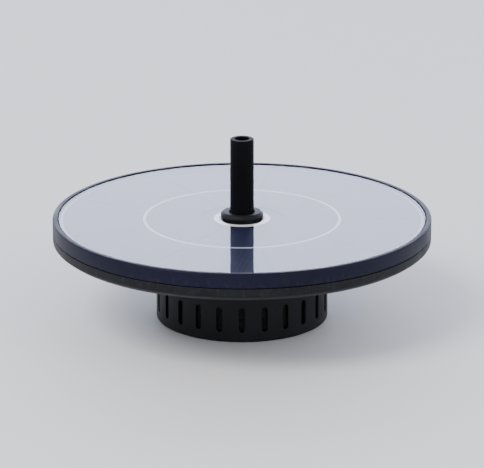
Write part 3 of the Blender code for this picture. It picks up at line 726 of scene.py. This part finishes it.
def make_nozzle():
    """The tube that the jet leaves by, and the collar round its foot."""
    socket_r, jet_r = 3.78 * MM, 3 * MM
    corners = [
        (NOZZLE_R, NOZZLE_TOP, 0.5 * MM),
        (NOZZLE_R, NOZZLE_LOW, 0.5 * MM),
        (socket_r, NOZZLE_LOW, 0.2 * MM),
        (socket_r, 49 * MM, 0.2 * MM),
        (jet_r, 50 * MM, 0.3 * MM),
        (jet_r, NOZZLE_TOP, 0.35 * MM),
    ]
    tube = lathe("spray_tube", corners, TUBE_SIDES, 5)
    finish_piece(tube, "nozzle", "black_tube", ["nozzle_tube"])
    neck_r, bore_r, under_lip = 7.9 * MM, 5.4 * MM, PANEL_TOP + 0.3 * MM
    corners = [
        (neck_r, COLLAR_TOP, 0.6 * MM),
        (COLLAR_R, COLLAR_TOP - 1.1 * MM, 0.5 * MM),
        (COLLAR_R, under_lip, 0.15 * MM),
        (neck_r, under_lip, 0.15 * MM),
        (neck_r, COLLAR_LOW, 0.3 * MM),
        (bore_r, COLLAR_LOW, 0.3 * MM),
        (bore_r, COLLAR_TOP, 0.4 * MM),
    ]
    collar = lathe("centre_collar", corners, TUBE_SIDES, 5)
    finish_piece(collar, "float", "black_plastic", ["hub_collar"])


def make_basket():
    """The strainer: slots with round ends in its wall and its floor, and three tabs in its rim."""
    wall = BASKET_R - 1.6 * MM
    floor_low, floor_top = 1.2 * MM, 3 * MM
    corners = [
        (BASKET_R, BASKET_TOP, 0.7 * MM),
        (BASKET_R, FLOOR_Z, 1.1 * MM),
        (29 * MM, FLOOR_Z, 0.3 * MM),
        (28 * MM, floor_low, 0.3 * MM),
        (0, floor_low, 0),
        (0, floor_top, 0),
        (wall, floor_top, 0.8 * MM),
        (wall, BASKET_TOP, 0.3 * MM),
    ]
    basket = lathe("strainer_basket", corners, BASKET_SIDES)
    window_place = Matrix.Translation((BASKET_R, 0, 9.8 * MM)) @ Matrix.Rotation(math.pi / 2, 4, "Y")
    windows = []
    for angle in spaced(STRAINER_WINDOWS):
        window = prism("tool", stadium(10.8 * MM, SLOT_W), -4 * MM, 4 * MM)
        window.matrix_world = about_z(angle) @ window_place
        windows.append(window)
    combine(basket, windows)
    slot_place = Matrix.Translation((18 * MM, 0, 0))
    slots = []
    for angle in spaced(STRAINER_SLOTS, 15):
        slot = prism("tool", stadium(16 * MM, SLOT_W), -1 * MM, 5 * MM)
        slot.matrix_world = about_z(angle) @ slot_place
        slots.append(slot)
    combine(basket, slots)
    outline = fillet(mm((33.45, -3.3, 0.4), (35.5, -3.3, 0), (35.5, 3.3, 0), (33.45, 3.3, 0.4)))
    turns = [about_z(angle) for angle in spaced(STRAINER_LOCKS)]
    combine(basket, [prism("tool", outline, 18.6 * MM, 20.2 * MM, turn) for turn in turns], "UNION")
    soften(basket, 0.16 * MM)
    finish_piece(basket, "basket", "black_plastic", ["strainer"])


def make_sponge():
    """The ring of filter sponge behind the windows, with a torn, uneven skin."""
    inner = 31.6 * MM
    corners = [
        (SPONGE_R, SPONGE_TOP, 0.5 * MM),
        (SPONGE_R, SPONGE_LOW, 0.5 * MM),
        (inner, SPONGE_LOW, 0.5 * MM),
        (inner, SPONGE_TOP, 0.5 * MM),
    ]
    sponge = lathe("sponge_ring", corners, 240, 2)
    shape = bmesh.new()
    shape.from_mesh(sponge.data)
    tall = [e for e in shape.edges if abs(e.verts[0].co.z - e.verts[1].co.z) > 5 * MM]
    bmesh.ops.subdivide_edges(shape, edges=tall, cuts=14, use_grid_fill=True)
    shape.normal_update()
    lumps_per_metre, lump = 900, 0.11 * MM
    for vertex in shape.verts:
        depth = lump * (noise.noise(vertex.co * lumps_per_metre) - 1)
        vertex.co += vertex.normal * depth
    shape.to_mesh(sponge.data)
    shape.free()
    finish_piece(shaded(sponge), "basket", "filter_sponge", ["filter_sponge"])


def make_foam():
    """The closed-cell ring inside the float, with a hole for each screw boss."""
    corners = mm(
        (74.5, 35.5, 0.6),
        (74.5, 34.4, 0.4),
        (41, 25, 1),
        (39, 24.4, 0.8),
        (33.8, 24.4, 0.6),
        (33.8, 35.5, 0.6),
    )
    foam = lathe("foam_ring", corners, TUBE_SIDES)
    hole_r = BOSS_R + 0.5 * MM
    combine(foam, [upright(x, y, hole_r, 20 * MM, 40 * MM) for x, y in float_screw_places()])
    finish_piece(foam, "float", "closed_cell_foam", ["foam_float"])


# ---- the pump, turned about its own axis: local z is the object's +Y ----------------------------


def in_pump(angle):
    """A place in the pump, turned about the pump's axis."""
    return Matrix.Translation(PUMP_AT) @ ALONG_Y @ about_z(angle)


def make_pump_body():
    """Impeller chamber in front, motor pocket behind, and the outlet up to the nozzle."""
    corners = mm(
        (0, 14.1, 0),
        (6.8, 14.1, 0.6),
        (6.8, 5.5, 0.4),
        (12.1, 5.5, 0.6),
        (12.1, 20, 0.3),
        (13.8, 20, 0.5),
        (13.8, -4.2, 0.5),
        (12.1, -4.2, 0.2),
        (12.1, 4.0, 0.4),
        (5.6, 4.0, 0.3),
        (5.6, 12.9, 0.6),
        (0, 12.9, 0),
    )
    body = lathe("pump_casing", corners, PUMP_SIDES, 4, PUMP_AT, ALONG_Y)
    flange = mm((-29, 0.5, 2.5), (15, 0.5, 2.5), (15, 7.5, 2.5), (-29, 7.5, 2.5))
    combine(body, [prism("tool", fillet(flange, 6), 31.4 * MM, 33.8 * MM)], "UNION")
    pipe = upright(0, 0, OUTLET_PIPE_R, PUMP_AT.z, 33.6 * MM, BORE_SIDES)
    combine(body, [pipe], "UNION")
    spigot = mm((3.7, 48, 0.5), (3.7, 33, 0), (0, 33, 0), (0, 48, 0))
    combine(body, [lathe("tool", spigot, SPIGOT_SIDES)], "UNION")
    outline = fillet(mm((13.2, -1.8, 0), (15.2, -1.8, 0.4), (15.2, 1.8, 0.4), (13.2, 1.8, 0)))
    lugs = []
    for turn in HOOK_TURNS:
        lug = prism("tool", outline, -2.6 * MM, -1.2 * MM)
        lug.matrix_world = in_pump(math.radians(turn))
        lugs.append(lug)
    combine(body, lugs, "UNION")
    chamber = mm((12.0, 3.9, 0.4), (12.0, -6, 0), (0, -6, 0), (0, 3.9, 0))
    combine(body, [lathe("tool", chamber, PUMP_SIDES, 4, PUMP_AT, ALONG_Y)])
    holes = [upright(x, y, PUMP_PILOT_R, 30 * MM, 36 * MM, HOLE_SIDES) for x, y in PUMP_MOUNTS]
    holes.append(upright(*LEAD_HOLE, LEAD_HOLE_R, 26 * MM, 36 * MM))
    combine(body, holes)
    combine(body, [upright(0, 0, OUTLET_R, PUMP_AT.z, 50 * MM, BORE_SIDES)])
    soften(body, 0.15 * MM)
    finish_piece(body, "float", "pump_plastic", ["pump_body"])


def make_rotor():
    """The white impeller with its six swept blades, and the magnet on its stem."""
    corners = mm(
        (1.9, 10.85, 0.2),
        (1.9, 2.6, 0.4),
        (10.5, 2.6, 0.3),
        (10.5, 1.7, 0.3),
        (3.0, 1.7, 0.6),
        (3.0, -2.6, 0.5),
        (1.08, -2.6, 0.2),
        (1.08, 10.85, 0.1),
    )
    wheel = lathe("impeller_wheel", corners, ROTOR_SIDES)
    outlines = [blade_outline(start) for start in spaced(BLADES)]
    combine(wheel, [prism("tool", blade, -2.55 * MM, 2.1 * MM) for blade in outlines], "UNION")
    soften(wheel, 0.12 * MM)
    put(wheel, PUMP_AT, ALONG_Y)
    finish_piece(wheel, "rotor", "impeller_plastic", ["impeller"])
    corners = mm((5.0, 10.3, 0.4), (5.0, 2.9, 0.4), (2.25, 2.9, 0.2), (2.25, 10.3, 0.2))
    magnet = lathe("magnet_ring", corners, ROTOR_SIDES, 4, PUMP_AT, ALONG_Y)
    finish_piece(magnet, "rotor", "magnet", ["rotor_magnet"])


def blade_outline(start):
    """A swept blade that is thin at both ends."""
    inner, outer, thickest, steps = 2.7 * MM, 10.25 * MM, 0.42 * MM, 14
    sides = [[], []]
    for i in range(steps + 1):
        share = i / steps
        radius = inner + (outer - inner) * share
        half = thickest * (0.75 + 0.25 * math.sin(math.pi * share))
        for edge, sign in zip(sides, (1, -1)):
            angle = start + BLADE_SWEEP * share + sign * half / radius
            edge.append((radius * math.cos(angle), radius * math.sin(angle)))
    return sides[1] + sides[0][::-1]


def make_coils():
    """Enamelled wire wound round each tooth, in turns that lie side by side."""
    low, high, bulge = 7.25 * MM, 8.85 * MM, 0.14 * MM
    pitch = (high - low) / COIL_TURNS
    section = []
    for i in range(COIL_TURNS):
        x = low + pitch * (i + 0.5)
        section += [(x - pitch / 2, 0.0), (x - pitch / 4, bulge), (x + pitch / 4, bulge)]
    section.append((high, 0.0))
    for number, angle in enumerate(spaced(POLES), 1):
        coil = wound(f"coil_{number}_wire", section)
        coil.matrix_world = in_pump(angle)
        finish_piece(coil, "float", "coil_wire", [f"coil_{number}"])


def wound(name, section):
    """A winding round a tooth that points along local X. The section's points are (x, height above
    the winding's lower layers)."""
    half_y, half_z, round_r = 1.95, 2.85, 0.4  # the window, in millimetres
    layers, middle = 0.55 * MM, 9.4 * MM
    window = ((half_y, half_z), (-half_y, half_z), (-half_y, -half_z), (half_y, -half_z))
    shape = bmesh.new()
    columns = []
    for y, z in fillet(mm(*((u, v, round_r) for u, v in window)), 3):
        out_y = max(-1.0, min(1.0, y / (half_y * MM)))
        out_z = max(-1.0, min(1.0, z / (half_z * MM)))
        column = []
        for x, height in section:
            reach = layers + height
            place = (x, y + out_y * reach * 2, z + out_z * reach + middle)
            column.append(shape.verts.new(place))
        for x in (section[-1][0], section[0][0]):
            column.append(shape.verts.new((x, y, z + middle)))
        columns.append(column)
    for a, b in zip(columns, columns[1:] + columns[:1]):
        for j in range(len(a)):
            k = (j + 1) % len(a)
            shape.faces.new((a[j], a[k], b[k], b[j]))
    return new_object(name, shape)


def make_cover():
    """The cover over the impeller: an inlet ring, three spokes, a hub and two hooks."""
    corners = mm(
        (13.8, -4.5, 0.5),
        (13.8, -6.3, 0.5),
        (7.5, -6.3, 0.4),
        (7.2, -8.0, 0.3),
        (6.2, -8.0, 0.3),
        (6.2, -4.5, 0.5),
        (10.4, -4.5, 0.1),
        (10.4, -3.0, 0.2),
        (11.0, -3.0, 0.2),
        (11.0, -4.5, 0.1),
    )
    cover = lathe("volute_lid", corners, PUMP_SIDES)
    outline = fillet(mm((2.7, -0.65, 0), (6.9, -0.65, 0), (6.9, 0.65, 0), (2.7, 0.65, 0)))
    turns = [about_z(angle) for angle in spaced(3, 30)]
    combine(cover, [prism("tool", outline, -6.1 * MM, -4.75 * MM, turn) for turn in turns], "UNION")
    corners = mm((3.2, -4.5, 0.3), (3.2, -6.3, 0.3), (2.4, -6.3, 0.2), (2.4, -4.5, 0.2))
    combine(cover, [lathe("tool", corners, BORE_SIDES)], "UNION")
    upright_hook = Matrix.Rotation(math.pi / 2, 4, "X")
    outline = fillet(
        mm(
            (13, -6.1, 0),
            (16.9, -6.1, 1.0),
            (16.9, 0.2, 0.5),
            (14.35, 0.2, 0.3),
            (14.35, -0.9, 0.2),
            (15.5, -0.9, 0.2),
            (15.5, -4.7, 0.6),
            (13, -4.7, 0),
        )
    )
    hooks = []
    half_w = 1.6 * MM
    for turn in HOOK_TURNS:
        hook = prism("tool", outline, -half_w, half_w)
        hook.matrix_world = about_z(math.radians(turn)) @ upright_hook
        hooks.append(hook)
    combine(cover, hooks, "UNION")
    soften(cover, 0.12 * MM)
    put(cover, PUMP_AT, ALONG_Y)
    finish_piece(cover, "cover", "pump_plastic", ["volute_cover"])


def make_turned_pieces():
    """Seals, bushes, the shaft, the end cap and the diode: round pieces with eased edges."""
    pump = (PUMP_AT, ALONG_Y)
    middle = (Vector(), None)
    pieces = (
        ("shaft_rod", "rotor_shaft", "float", "ceramic", pump, mm(
            (0, 12.3, 0), (1, 12.3, 0.25), (1, -6, 0.25), (0, -6, 0))),
        ("bush_rear", "rear_bush", "float", "rubber", pump, mm(
            (2.6, 12.6, 0.3), (2.6, 11.2, 0.3), (1.3, 11.2, 0.2), (1.3, 12.6, 0.2))),
        ("bush_front", "front_bush", "cover", "rubber", pump, mm(
            (2, -4.6, 0.2), (2, -6, 0.2), (1.3, -6, 0.15), (1.3, -4.6, 0.15))),
        ("seal_cover", "cover_seal", "cover", "rubber", pump, mm(
            (11.9, -3.45, 0.35), (11.9, -4.15, 0.35), (11.2, -4.15, 0.35), (11.2, -3.45, 0.35))),
        ("end_cap", "motor_end_cap", "float", "black_plastic", pump, mm(
            (0, 19.6, 0), (6.8, 19.6, 0.1), (7, 19.1, 0.1), (7.8, 19.1, 0.1), (8, 19.6, 0.1),
            (11.7, 19.6, 0.4), (11.7, 18.2, 0.2), (0, 18.2, 0))),
        ("hub_washer", "hub_gasket", "float", "rubber", middle, mm(
            (7.9, 37.6, 0.5), (7.9, 36.1, 0.5), (4.2, 36.1, 0.4), (4.2, 37.6, 0.4))),
        ("grommet", "lead_grommet", "float", "rubber", (Vector((*LEAD_HOLE, 0)), None), mm(
            (4.4, 36.6, 0.15), (4.4, 36.1, 0.15), (2.3, 36.1, 0.2), (2.3, 31.8, 0.3),
            (1.35, 31.8, 0.1), (1.35, 35.2, 0.8), (2.6, 36.6, 0.2))),
        ("diode_body", "blocking_diode", "float", "chip_resin", (DIODE_AT, ALONG_Y), mm(
            (0, 3, 0), (1.04, 3, 0.3), (1.04, 2.2, 0.05), (1.1, 2.1, 0.05), (1.1, 1.3, 0.05),
            (1.04, 1.2, 0.05), (1.04, -3, 0.3), (0, -3, 0))),
    )
    for name, node, body, slot, place, corners in pieces:
        finish_piece(lathe(name, corners, ROTOR_SIDES, 4, *place), body, slot, [node])


def make_stator():
    """Stacked laminations with a tooth for each coil."""
    inner, outer, low, high = 10, 11.7, 6.9, 11.9  # in millimetres
    groove, groove_half_w = 0.08, 0.05
    corners = mm((inner, high, 0), (outer, high, 0))
    for i in range(1, LAMINATIONS):
        seam = high - (high - low) * i / LAMINATIONS
        upper, lower = seam + groove_half_w, seam - groove_half_w
        corners += mm((outer, upper, 0), (outer - groove, seam, 0), (outer, lower, 0))
    corners += mm((outer, low, 0), (inner, low, 0))
    core = lathe("lamination_stack", corners, PUMP_SIDES, 1, PUMP_AT, ALONG_Y)
    outline = fillet(mm((7.2, -1.6, 0.3), (10.4, -1.6, 0), (10.4, 1.6, 0), (7.2, 1.6, 0.3)))
    teeth = []
    for angle in spaced(POLES):
        tooth = prism("tool", outline, (low + 0.01) * MM, (high - 0.01) * MM)
        tooth.matrix_world = in_pump(angle)
        teeth.append(tooth)
    combine(core, teeth, "UNION")
    finish_piece(core, "float", "stator_iron", ["stator_core"])


def rounded_box(name, x, y, length, width, low, high, radius, ease):
    """An upright box with round corners and eased edges. Sizes are in millimetres."""
    a, b = length / 2, width / 2
    corners = ((x + a, y + b), (x - a, y + b), (x - a, y - b), (x + a, y - b))
    outline = fillet(mm(*((u, v, radius) for u, v in corners)))
    return soften(prism(name, outline, low * MM, high * MM), ease * MM)


def make_electrics():
    """The driver board with its chip and capacitor, and the block that the cells end in."""
    corners = mm((0, 15.5, 0), (11.6, 15.5, 0.1), (11.6, 14.5, 0.1), (0, 14.5, 0))
    board = lathe("driver_disc", corners, TUBE_SIDES, 2)
    hole_r, hole_circle = 0.5 * MM, 9.5 * MM
    holes = []
    for angle in spaced(POLES, 45):
        x, y = hole_circle * math.cos(angle), hole_circle * math.sin(angle)
        holes.append(upright(x, y, hole_r, 14 * MM, 16 * MM, 16))
    combine(board, holes)
    chip = rounded_box("driver_package", -4, 2, 4, 5, 15.8, 17, 0.15, 0.1)
    combine(chip, [upright(-5.3 * MM, 3.8 * MM, 0.35 * MM, 16.85 * MM, 18 * MM, 20)])
    capacitor = rounded_box("capacitor_case", 4, 3, 3, 5, 15.8, 17.6, 0.4, 0.2)
    for piece, slot, node in (
        (board, "circuit_board", "driver_board"),
        (chip, "chip_resin", "driver_chip"),
        (capacitor, "capacitor_yellow", "filter_capacitor"),
    ):
        finish_piece(put(piece, PUMP_AT, ALONG_Y), "float", slot, [node])
    block = rounded_box("terminal_housing", 42.5, 0, 9, 8, 37.7, 41, 0.7, 0.2)
    combine(block, [upright(42.5 * MM, y * MM, 1.5 * MM, 37 * MM, 39 * MM) for y in (-2, 2)])
    finish_piece(block, "float", "black_plastic", ["terminal_block"])


# ---- the setting -------------------------------------------------------------------------------


def aim(obj, target):
    direction = Vector(target) - obj.location
    obj.rotation_mode = "QUATERNION"
    obj.rotation_quaternion = direction.to_track_quat("-Z", "Y")


def softbox(name, location, target, size, radiance, colour):
    """A rectangular light that looks equally bright from anywhere in front of it."""
    light = bpy.data.lights.new(name, "AREA")
    light.shape = "RECTANGLE"
    light.size, light.size_y = size
    light.energy = radiance * math.pi * size[0] * size[1]
    light.color = colour
    obj = bpy.data.objects.new(name, light)
    bpy.context.scene.collection.objects.link(obj)
    obj.location = location
    aim(obj, target)
    return obj


def make_floor():
    """A wide pale floor, a hair below the foot so that the two don't share a plane."""
    shape = bmesh.new()
    bmesh.ops.create_circle(shape, cap_ends=True, segments=128, radius=30)
    floor = new_object("studio_floor", shape)
    floor.location.z = FLOOR_Z - 0.15 * MM
    made = Finish("studio_floor", (0.8, 0.8, 0.81), 0.7)
    made.colour(made.mix(made.noise(9, 4), (0.79, 0.79, 0.8), (0.82, 0.82, 0.83)))
    floor.data.materials.append(made.bump((made.noise(500, 3), 0.02 * MM)).material)


def make_world():
    """An even dome, paler towards the horizon and dimmer overhead."""
    world = bpy.data.worlds.new("studio")
    world.use_nodes = True
    tree = world.node_tree
    sky = tree.nodes["Background"]
    place = tree.nodes.new("ShaderNodeTexCoord")
    height = tree.nodes.new("ShaderNodeSeparateXYZ")
    ramp = tree.nodes.new("ShaderNodeMapRange")
    tree.links.new(place.outputs["Generated"], height.inputs["Vector"])
    tree.links.new(height.outputs["Z"], ramp.inputs["Value"])
    horizon, overhead = 1.7, 0.55
    for socket, value in (("From Min", 0), ("From Max", 1), ("To Min", horizon), ("To Max", overhead)):
        ramp.inputs[socket].default_value = value
    tree.links.new(ramp.outputs["Result"], sky.inputs["Strength"])
    sky.inputs["Color"].default_value = (0.93, 0.95, 1.0, 1)
    bpy.context.scene.world = world


def make_lights():
    """A wide lavender sky behind for the panel to mirror, a key from the left and a soft fill."""
    middle = (0, 0, PANEL_TOP)
    softbox("back_sky", (0, 8.4, 3.07), middle, (12.6, 5.1), 4.3, (0.67, 0.74, 1.0))
    softbox("key", (-1.2, -0.9, 1.9), middle, (1.1, 1.1), 10.0, (1.0, 0.98, 0.95))
    softbox("fill", (1.8, -1.2, 1.1), middle, (1.7, 1.7), 1.5, (0.95, 0.97, 1.0))


def make_camera():
    """Stands where the viewer stood: level with the front, looking a little down."""
    elevation, distance, lens = math.radians(17.5), 1.4, 246
    target = Vector((0, 0, 0.036))
    data = bpy.data.cameras.new("camera")
    data.lens = lens
    camera = bpy.data.objects.new("camera", data)
    bpy.context.scene.collection.objects.link(camera)
    camera.location = target + Vector((0, -math.cos(elevation), math.sin(elevation))) * distance
    aim(camera, target)
    bpy.context.scene.camera = camera


dress_cad_nodes()
make_panel()
make_frame()
make_hull()
make_seal()
make_screws()
make_foam()
make_nozzle()
make_basket()
make_sponge()
make_pump_body()
make_rotor()
make_coils()
make_cover()
make_turned_pieces()
make_stator()
make_electrics()
make_floor()
make_world()
make_lights()
make_camera()
